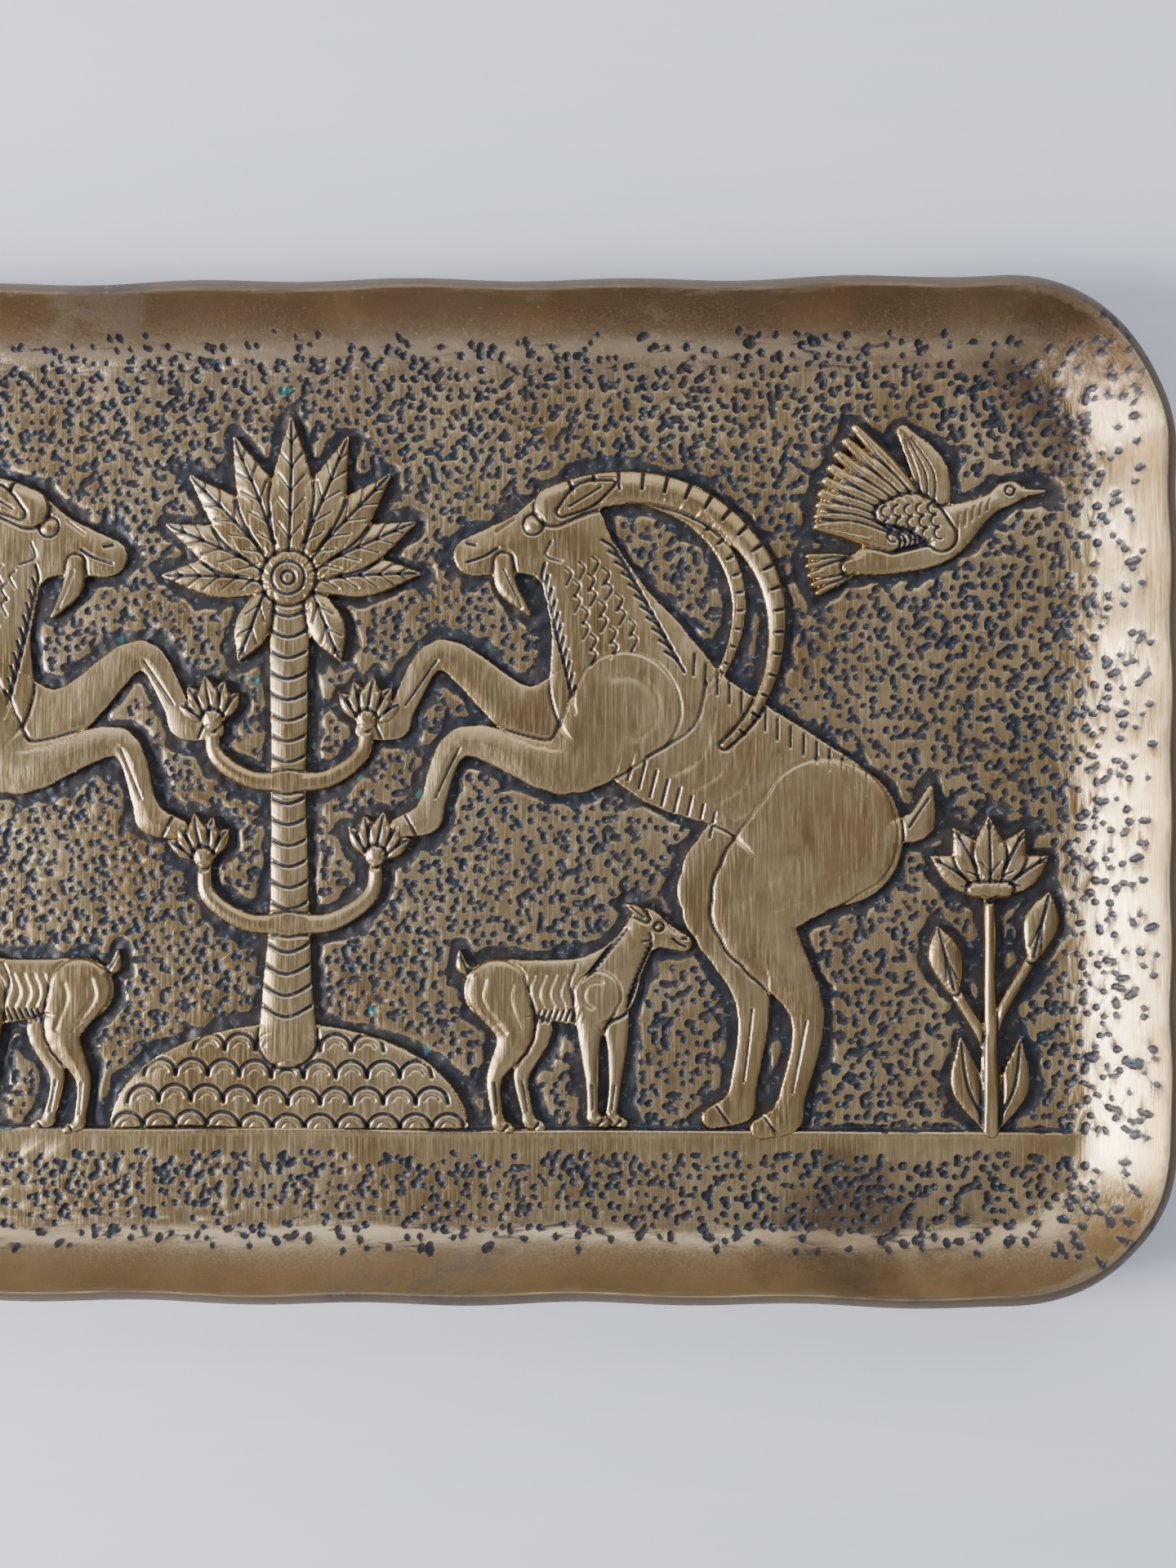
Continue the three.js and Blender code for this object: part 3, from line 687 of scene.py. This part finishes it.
def dish_grid(figures):
    """Heights of the dish's upper and under surface. figures gives the distance to the nearest figure."""
    corner = (HALF_LENGTH + 2 * DISH_CELL, WIDTH / 2 + 2 * DISH_CELL)
    grid = Grid((-corner[0], -corner[1]), corner, DISH_CELL)
    x, y = grid.x, grid.y
    qx, qy = past_corners(x, y)
    grid.outline = np.where(np.hypot(qx, qy) > 0, np.hypot(qx, qy) - CORNER_RADIUS, -CORNER_RADIUS)
    share = share_of_cove(
        qx, qy, CORNER_RADIUS - LIP_WIDTH, COVE_AT_ENDS - LIP_WIDTH, COVE_AT_SIDES - LIP_WIDTH
    )
    under_share = share_of_cove(
        qx, qy, CORNER_RADIUS, BASE_MARGIN + COVE_AT_ENDS, BASE_MARGIN + COVE_AT_SIDES
    )
    cove = FLOOR + (HEIGHT - FLOOR) * (1 - share) ** COVE_POWER
    across_lip = (LIP_WIDTH + grid.outline) / LIP_WIDTH
    lip = HEIGHT - LIP_DROP * np.sign(across_lip) * np.abs(across_lip) ** LIP_POWER
    hammered = 0.17 * noise(x, y, 13, 1) + 0.09 * noise(x, y, 6, 2)

    near = figures(x, y)
    ground_y = GROUND_Y + 0.25 * noise(x, y, 26, 3)
    behind = y - ground_y
    in_floor = ease(share, 0.55, 0.95)
    ragged = 0.9 * noise(x, y, 2.3, 15)
    beside = np.minimum(near, np.where(behind > 0, behind + 1.2, REACH))
    sunk = ease(ragged - beside, -RECESS_REACH, -0.7) * in_floor
    crowded = spread(np.clip(-near / 0.3, 0, 1), round(POCKET_REACH / DISH_CELL))
    sunk = np.maximum(sunk, ease(crowded + 0.05 * ragged, 0.36, 0.46) * in_floor)
    sunk = np.where(behind > 0, sunk, 0)
    rough = (0.20 * noise(x, y, 1.5, 4) + 0.12 * noise(x, y, 0.9, 5)) * (near > -1.0)
    field = cove + hammered - RECESS * sunk + rough * sunk
    band = FLOOR + GROUND_BAND_RISE + 0.6 * hammered + 0.25 * ease(behind, -1.6, -0.2)
    shelf = soft_max(band, cove + 0.6 * hammered, 0.8)
    step = ease(behind, -0.12, 0.35)
    top = np.where(behind > 0.6, field, shelf * (1 - step) + field * step)

    side_room = WIDTH / 2 - np.abs(y) - PLAIN_EDGE_AT_SIDES + 1.2 * noise(x, y, 9, 6)
    end_room = HALF_LENGTH - np.abs(x) - PLAIN_EDGE_AT_ENDS + 0.8 * noise(x, y, 9, 8)
    strip_room = np.where(behind > 0, 1.0, -behind - PLAIN_STRIP + 0.8 * noise(x, y, 7, 9))
    clear = np.minimum.reduce([side_room, end_room, strip_room, near - 1.5])
    depth, dark = punch_pits(grid, -grid.outline, clear)
    top -= depth * (1 - 0.75 * sunk)
    top = soft_min(top, lip, 0.5)
    grid.height = top
    outer = (HEIGHT - LIP_DROP - RIM_THICKNESS) * (1 - np.clip(under_share, 0, 1)) ** 2
    grid.under = np.minimum(outer, top - THINNEST)
    # Painted shade: a dark line along the foot of the ground line's step, put into the patina.
    shade_at_foot_of_step = np.exp(-((np.maximum(behind, 0) / 0.9) ** 2)) * (behind > -0.1) * in_floor
    cloud = 0.5 + 0.5 * noise(x, y, 5, 10)
    halo = ease(sunk, 0.0, 0.6) * (0.8 + 0.2 * cloud)
    grid.patina_and_shade = np.clip(np.maximum.reduce([dark * (0.75 + 0.25 * cloud), halo, shade_at_foot_of_step]), 0, 1)
    strip = LIP_WIDTH - 0.1 + 0.5 * ease(np.abs(x), 105, 130) + 0.2 * noise(x, y, 5, 18)
    grid.tarnish = ease(grid.outline + strip, -0.3, 0.1)
    return grid


# Meshes

def outline_triangles(grid, d):
    """Triangles over the cells where the distance d is negative, with their border moved onto its zero."""
    rows, cols = grid.x.shape
    gy, gx = np.gradient(d, grid.cell)
    steep = np.maximum(gx * gx + gy * gy, 0.25)
    keep = d <= 0.5 * grid.cell
    index = np.arange(rows * cols).reshape(rows, cols)
    a, b, c, e = index[:-1, :-1], index[:-1, 1:], index[1:, 1:], index[1:, :-1]
    ka, kb, kc, ke = keep[:-1, :-1], keep[:-1, 1:], keep[1:, 1:], keep[1:, :-1]
    cross = ~(ka & kc) & kb & ke
    faces = [
        np.stack([p[use], q[use], r[use]], axis=1)
        for p, q, r, use in (
            (a, b, c, ka & kb & kc & ~cross),
            (a, c, e, ka & kc & ke & ~cross),
            (a, b, e, ka & kb & ke & cross),
            (b, c, e, kb & kc & ke & cross),
        )
    ]
    faces = np.concatenate(faces)
    edges = np.concatenate([faces[:, [0, 1]], faces[:, [1, 2]], faces[:, [2, 0]]])
    key = edges[:, 0] * (rows * cols) + edges[:, 1]
    back = edges[:, 1] * (rows * cols) + edges[:, 0]
    border = edges[~np.isin(key, back)]
    snap = (np.abs(d) <= 0.5 * grid.cell).ravel()
    snap[border.ravel()] = True
    move = np.where(snap, (d / steep).ravel(), 0)
    x = grid.x.ravel() - move * gx.ravel()
    y = grid.y.ravel() - move * gy.ravel()
    return x, y, faces, border


def closed_mesh(name, grid, outline, under, target):
    """A closed mesh between the grid's heights and under, thinned to about target triangles. Millimetres."""
    x, y, faces, border = outline_triangles(grid, outline)
    used, inverse = np.unique(faces, return_inverse=True)
    faces = inverse.reshape(faces.shape)
    border = np.searchsorted(used, border)
    x, y = x[used], y[used]
    count = len(used)
    top = grid.sample(grid.height, x, y)
    low = grid.sample(under, x, y)
    points = np.concatenate([np.stack([x, y, top], axis=1), np.stack([x, y, low], axis=1)])
    walls = np.concatenate([
        np.stack([border[:, 0], border[:, 0] + count, border[:, 1]], axis=1),
        np.stack([border[:, 1], border[:, 0] + count, border[:, 1] + count], axis=1),
    ])
    triangles = np.concatenate([faces, faces[:, ::-1] + count, walls])
    mesh = mesh_from(name, points, triangles)
    thin = bpy.data.objects.new(name, mesh)
    bpy.context.scene.collection.objects.link(thin)
    modifier = thin.modifiers.new("thin", "DECIMATE")
    modifier.ratio = min(1.0, target / len(triangles))
    evaluated = thin.evaluated_get(bpy.context.evaluated_depsgraph_get())
    thinned = evaluated.to_mesh()
    points, triangles = arrays_of(thinned)
    evaluated.to_mesh_clear()
    bpy.data.objects.remove(thin)
    bpy.data.meshes.remove(mesh)
    return points, triangles


def mesh_from(name, points, triangles):
    mesh = bpy.data.meshes.new(name)
    mesh.vertices.add(len(points))
    mesh.vertices.foreach_set("co", points.astype(np.float32).ravel())
    mesh.loops.add(3 * len(triangles))
    mesh.loops.foreach_set("vertex_index", triangles.astype(np.int32).ravel())
    mesh.polygons.add(len(triangles))
    mesh.polygons.foreach_set("loop_start", np.arange(0, 3 * len(triangles), 3, dtype=np.int32))
    mesh.update(calc_edges=True)
    return mesh


def arrays_of(mesh):
    mesh.calc_loop_triangles()
    points = np.empty(3 * len(mesh.vertices), np.float32)
    mesh.vertices.foreach_get("co", points)
    triangles = np.empty(3 * len(mesh.loop_triangles), np.int32)
    mesh.loop_triangles.foreach_get("vertices", triangles)
    return points.reshape(-1, 3).astype(float), triangles.reshape(-1, 3)


def wander(x, y):
    """Small uneven shifts that make the two mirrored halves of the design differ."""
    return 0.35 * noise(x, y, 17, 11) + 0.12 * noise(x, y, 6, 12), 0.35 * noise(x, y, 17, 13)


def piece(name, points, triangles, grid, mirrored, material, is_figure):
    """A finished object from a thinned mesh, with its patina (on the dish, also a painted shade at the ground
    line's step) and its normals read from the grid.
    """
    x, y, z = points.T
    gy, gx = np.gradient(grid.height, grid.cell)
    normals = np.stack([-grid.sample(gx, x, y), -grid.sample(gy, x, y), np.ones(len(x))], axis=1)
    normals /= np.linalg.norm(normals, axis=1, keepdims=True)
    on_top = np.abs(z - grid.sample(grid.height, x, y)) < 0.15
    inside = grid.sample(grid.outline, x, y) < -0.3
    normals[~(on_top & inside)] = 0
    patina_and_shade = np.where(on_top, grid.sample(grid.patina_and_shade, x, y), 0.35 + 0.3 * noise(x, y, 8, 14))
    if is_figure:
        patina_and_shade = np.where(on_top & inside, patina_and_shade, np.where(on_top, 0.25 * patina_and_shade, 0.95))
        z = z + FLOOR
    if mirrored:
        x = -x
        normals[:, 0] *= -1
        triangles = triangles[:, ::-1]
    if is_figure:
        dx, dy = wander(x, y)
        x, y = x + dx, y + dy
    low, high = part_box("platter")
    x = np.clip(x, low[0] / MM, high[0] / MM)
    y = np.clip(y, low[1] / MM, high[1] / MM)
    mesh = mesh_from(name, np.stack([x, y, z], axis=1) * MM, triangles)
    tarnish = np.zeros(len(x)) if is_figure else grid.sample(grid.tarnish, x, y)
    figure = np.full(len(x), float(is_figure))
    for key, values in (("patina_and_shade", patina_and_shade), ("figure", figure), ("tarnish", tarnish)):
        mesh.attributes.new(key, "FLOAT", "POINT").data.foreach_set("value", values.astype(np.float32))
    mesh.polygons.foreach_set("use_smooth", np.ones(len(triangles), bool))
    mesh.normals_split_custom_set_from_vertices(normals.tolist())
    mesh.materials.append(material)
    made = bpy.data.objects.new(name, mesh)
    bpy.context.scene.collection.objects.link(made)
    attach(made, "root")
    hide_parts("platter")
    return made


# Materials

DEEP_BRONZE = (0.33, 0.225, 0.107, 1)
PALE_BRONZE = (0.50, 0.38, 0.215, 1)
RED_BRONZE = (0.29, 0.175, 0.075, 1)
BRUSHED = (0.72, 0.585, 0.38, 1)
# Painted shade: the darker, greyer tone of the coves on the long sides.
SHADE_AT_SIDES = (0.36, 0.29, 0.205, 1)
# Painted reflection: the greyer tone of the cove behind, at the top.
PAINTED_REFLECTION_BEHIND = (0.47, 0.36, 0.265, 1)
SCUFFED = (0.7, 0.55, 0.34, 1)
TARNISHED = (0.085, 0.062, 0.040, 1)
BLUE_BLACK = (0.016, 0.020, 0.031, 1)
BROWN_BLACK = (0.042, 0.034, 0.032, 1)
# Pale blue specks in the patina: partly its own grains, partly painted glints.
SPECKS_AND_GLINTS = (0.19, 0.25, 0.33, 1)
VERDIGRIS = (0.035, 0.17, 0.18, 1)
TABLE_SHADED = (0.76, 0.82, 0.98, 1)
TABLE_PALE = (0.84, 0.87, 0.98, 1)

# Two brown patches on the cove: one at the lower right, and one over the upper right cove that is painted
# shade. For each: where it lies, how far it reaches in x and y, and its colour
BROWN_PATCHES_AND_SHADE = (
    ((0.095, -0.0695), (0.026, 0.013), (0.12, 0.082, 0.052, 1)),
    ((0.128, 0.063), (0.020, 0.024), (0.15, 0.098, 0.065, 1)),
)


class Shader:
    """A material's nodes, made one at a time."""

    def __init__(self, name):
        self.material = bpy.data.materials.new(name)
        self.material.use_nodes = True
        self.tree = self.material.node_tree
        self.tree.nodes.clear()

    def add(self, kind, inputs=None, **settings):
        made = self.tree.nodes.new("ShaderNode" + kind)
        for key, value in settings.items():
            setattr(made, key, value)
        for key, value in (inputs or {}).items():
            socket = made.inputs[key]
            if isinstance(value, bpy.types.NodeSocket):
                self.tree.links.new(value, socket)
            else:
                socket.default_value = value
        return made

    def math(self, operation, a, b=0.0):
        return self.add("Math", {0: a, 1: b}, operation=operation).outputs[0]

    def mix(self, share, a, b):
        made = self.add("Mix", {0: share, 6: a, 7: b}, data_type="RGBA")
        return made.outputs[2]

    def noise(self, coordinates, stretch, scale, detail=4.0, rough=0.55):
        placed = self.add("Mapping", {"Vector": coordinates, "Scale": stretch}).outputs[0]
        made = self.add("TexNoise", {"Vector": placed, "Scale": scale, "Detail": detail, "Roughness": rough})
        return made.outputs["Fac"]

    def band(self, value, low, high, start=0.0, end=1.0):
        inputs = {"Value": value, "From Min": low, "From Max": high, "To Min": start, "To Max": end}
        return self.add("MapRange", inputs, interpolation_type="SMOOTHSTEP").outputs[0]

    def attribute(self, name):
        return self.add("Attribute", attribute_name=name).outputs["Fac"]

    def finish(self, **inputs):
        surface = self.add("BsdfPrincipled", {k.replace("_", " "): v for k, v in inputs.items()})
        output = self.add("OutputMaterial", {"Surface": surface.outputs[0]})
        output.is_active_output = True
        return self.material


def bronze():
    """Brushed warm bronze on what stands proud, blue-black patina in what lies low. Painted shade darkens the
    coves on the long sides, the upper right cove and the foot of the ground line's step; the cove behind gets
    a painted grey reflection, and pale specks in the patina are partly painted glints.
    """
    s = Shader("bronze")
    place = s.add("TexCoord").outputs["Object"]
    axes = s.add("SeparateXYZ", {0: place}).outputs
    patina_and_shade, figure = s.attribute("patina_and_shade"), s.attribute("figure")
    even = (1.0, 1.0, 1.0)

    clouds = s.noise(place, even, 55.0, 5.0, 0.6)
    blotches = s.noise(place, even, 160.0, 4.0, 0.65)
    grain = s.noise(place, even, 1500.0, 3.0, 0.6)
    brushed = s.noise(place, (1.0, 0.055, 1.0), 2600.0, 3.0, 0.6)
    patches = s.band(s.noise(place, even, 90.0, 3.0), 0.42, 0.62)
    turned = {"Vector": place, "Angle": math.radians(-24)}
    slant = s.add("VectorRotate", turned, rotation_type="Z_AXIS").outputs[0]
    scuffs = s.band(s.noise(slant, (1.0, 0.05, 1.0), 1300.0, 2.0), 0.6, 0.72)
    scuffed = s.math("MULTIPLY", scuffs, s.band(axes["Y"], 0.045, 0.062))

    warm = s.mix(s.band(clouds, 0.3, 0.7), DEEP_BRONZE, PALE_BRONZE)
    warm = s.mix(s.band(blotches, 0.52, 0.75, 0.0, 0.6), warm, RED_BRONZE)
    warm = s.mix(s.band(brushed, 0.45, 0.8, 0.0, 0.5), warm, BRUSHED)
    # Painted shade: the coves on the long sides are mixed toward a darker, greyer bronze, for the dim room
    # they reflect.
    shaded_sides = s.band(s.math("ABSOLUTE", axes["Y"]), 0.064, 0.076)
    warm = s.mix(s.math("MULTIPLY", shaded_sides, 0.7), warm, SHADE_AT_SIDES)
    # Painted reflection: the cove behind is mixed in patches toward a greyer bronze, for the dark room it
    # reflects.
    back = s.math("MULTIPLY", s.band(axes["Y"], 0.058, 0.076), s.band(clouds, 0.25, 0.6, 0.4, 1.0))
    warm = s.mix(s.math("MULTIPLY", back, 0.75), warm, PAINTED_REFLECTION_BEHIND)
    warm = s.mix(s.math("MULTIPLY", scuffed, 0.5), warm, SCUFFED)
    # The second patch is painted shade, darkening the upper right cove.
    for (x, y), (across, along), colour in BROWN_PATCHES_AND_SHADE:
        shift, scale = (-x / across, -y / along, 0), (1 / across, 1 / along, 0)
        centred = s.add("Mapping", {"Vector": place, "Location": shift, "Scale": scale}).outputs[0]
        away = s.add("VectorMath", {0: centred}, operation="LENGTH").outputs["Value"]
        ragged = s.math("ADD", away, s.math("MULTIPLY", clouds, 2.0))
        warm = s.mix(s.band(ragged, 1.2, 2.0, 0.75, 0.0), warm, colour)
    tarnish = s.attribute("tarnish")
    warm = s.mix(s.math("MULTIPLY", tarnish, 0.85), warm, TARNISHED)

    # Pale blue specks in the patina: partly its own grains, partly painted glints.
    specks_and_glints = s.band(s.noise(place, even, 900.0, 2.0), 0.6, 0.72)
    cold = s.mix(s.band(blotches, 0.35, 0.7), BLUE_BLACK, BROWN_BLACK)
    cold = s.mix(s.math("MULTIPLY", specks_and_glints, 0.45), cold, SPECKS_AND_GLINTS)
    green = s.band(s.noise(place, even, 150.0, 2.0), 0.715, 0.75, 0.0, 0.75)
    cold = s.mix(green, cold, VERDIGRIS)
    stain = s.math("MULTIPLY", s.band(s.noise(place, even, 35.0, 6.0, 0.7), 0.56, 0.70), 0.45)
    uneven = s.math("ADD", patina_and_shade, s.math("MULTIPLY", s.math("SUBTRACT", grain, 0.5), 0.5))
    dark = s.band(uneven, 0.22, 0.72)
    dark = s.math("MAXIMUM", dark, s.math("MULTIPLY", stain, s.math("SUBTRACT", 1.0, figure)))

    dull = s.math("MAXIMUM", dark, s.math("MULTIPLY", tarnish, 0.85))
    metal = s.math("SUBTRACT", 1.0, s.math("MULTIPLY", dull, 0.65))
    rough = s.math("ADD", s.band(brushed, 0.3, 0.7, 0.28, 0.41), s.math("MULTIPLY", dull, 0.16))
    deeper = s.math("ADD", s.math("MULTIPLY", figure, 0.6), 0.5)
    scratches = s.math("MULTIPLY", brushed, s.math("MULTIPLY", deeper, patches))
    grit = s.math("MULTIPLY", grain, s.math("ADD", dark, 0.25))
    relief = s.math("ADD", s.math("ADD", s.math("MULTIPLY", brushed, 0.5), grit), scratches)
    bump = s.add("Bump", {"Height": relief, "Strength": 0.35, "Distance": 0.00012}).outputs[0]
    return s.finish(Base_Color=s.mix(dark, warm, cold), Metallic=metal, Roughness=rough, Normal=bump)


def table_top():
    """A pale bluish white surface."""
    s = Shader("table_top")
    place = s.add("TexCoord").outputs["Object"]
    streaks = s.noise(place, (0.12, 1.0, 1.0), 55.0, 5.0, 0.6)
    fibres = s.noise(place, (0.08, 1.0, 1.0), 420.0, 3.0, 0.6)
    pale = s.math("ADD", s.band(streaks, 0.3, 0.7, 0.0, 0.75), s.band(fibres, 0.35, 0.65, 0.0, 0.25))
    colour = s.mix(pale, TABLE_SHADED, TABLE_PALE)
    return s.finish(Base_Color=colour, Roughness=0.55)


# Putting it together

def build_platter():
    material = bronze()
    figures = [("tree", tree(), 130000), ("goat", goat(), 110000), ("kid", kid(), 34000)]
    figures += [("bird", bird(), 26000), ("lotus", lotus(), 26000)]

    def nearest(x, y):
        near = np.full(x.shape, REACH)
        for name, grid, _ in figures:
            for across in ((x,) if name == "tree" else (x, -x)):
                inside = (across > grid.xs[0]) & (across < grid.xs[-1]) & (y > grid.ys[0]) & (y < grid.ys[-1])
                outline = grid.sample(grid.outline, across[inside], y[inside])
                near[inside] = np.minimum(near[inside], outline)
        return near

    dish = dish_grid(nearest)
    for name, side in (("dish_right", 1), ("dish_left", -1)):
        half = np.maximum(dish.outline, -side * dish.x - SEAM_LAP)
        points, triangles = closed_mesh(name, dish, half, dish.under, HALF_DISH_TRIANGLES)
        piece(name, points, triangles, dish, False, material, False)
    for name, grid, target in figures:
        grid.work_over()
        flat = np.full(grid.x.shape, -RECESS - FIGURE_SINK)
        points, triangles = closed_mesh(name, grid, grid.outline, flat, target)
        if name == "tree":
            piece("relief_tree", points, triangles, grid, False, material, True)
            continue
        piece(f"relief_{name}_right", points, triangles, grid, False, material, True)
        piece(f"relief_{name}_left", points, triangles, grid, True, material, True)


def build_floor():
    mesh = bpy.data.meshes.new("table")
    reach = 1.6
    corners = [(-reach, -reach, 0), (reach, -reach, 0), (reach, reach, 0), (-reach, reach, 0)]
    mesh.from_pydata(corners, [], [(0, 1, 2, 3)])
    mesh.materials.append(table_top())
    table = bpy.data.objects.new("table", mesh)
    bpy.context.scene.collection.objects.link(table)


def look_at(made, target, up):
    """Turns a lamp or camera to its target."""
    back = (made.location - target).normalized()
    right = Vector(up).cross(back).normalized()
    turn = Matrix((right, back.cross(right), back)).transposed()
    made.rotation_euler = turn.to_euler()


def area_light(name, place, size, power, colour):
    light = bpy.data.lights.new(name, "AREA")
    light.shape = "RECTANGLE"
    light.size, light.size_y = size
    light.energy = power
    light.color = colour
    made = bpy.data.objects.new(name, light)
    made.location = place
    bpy.context.scene.collection.objects.link(made)
    look_at(made, Vector((0.05, 0.0, 0.0)), (0, 0, 1))


# Each light's place, its size across and up, its power and its colour
LIGHTS = {
    "window_left": ((-0.85, -0.12, 0.37), (0.28, 0.7), 24.0, (1.0, 0.985, 0.965)),
    "wall_back": ((0.10, 1.0, 0.75), (2.0, 1.1), 13.0, (0.93, 0.96, 1.0)),
    "wall_front": ((0.10, -1.0, 0.75), (2.0, 1.1), 3.0, (0.97, 0.98, 1.0)),
    "ceiling": ((0.42, 0.0, 1.20), (1.0, 0.5), 0.6, (0.97, 0.98, 1.0)),
}


def build_lights():
    """A tall window on the left, pale walls behind and in front, a weak ceiling and a dim room."""
    for name, (place, size, power, colour) in LIGHTS.items():
        area_light(name, place, size, power, colour)
    world = bpy.data.worlds.new("studio")
    world.use_nodes = True
    world.node_tree.nodes["Background"].inputs["Color"].default_value = (0.62, 0.65, 0.72, 1)
    world.node_tree.nodes["Background"].inputs["Strength"].default_value = 0.38
    bpy.context.scene.world = world


def build_camera():
    """Straight above, a little to the right and the front, as the photograph was taken."""
    rim = HEIGHT * MM
    target = Vector((0.0486, 0.0006, rim))
    tall = 0.2432
    distance = 0.32
    data = bpy.data.cameras.new("camera")
    data.sensor_fit = "VERTICAL"
    data.sensor_height = 24.0
    data.lens = data.sensor_height * distance / tall
    data.clip_start = 0.01
    camera = bpy.data.objects.new("camera", data)
    camera.location = target + Vector((0.009, -0.009, distance))
    bpy.context.scene.collection.objects.link(camera)
    look_at(camera, target, (0, 1, 0))
    bpy.context.scene.camera = camera


build_camera()
build_platter()
build_floor()
build_lights()
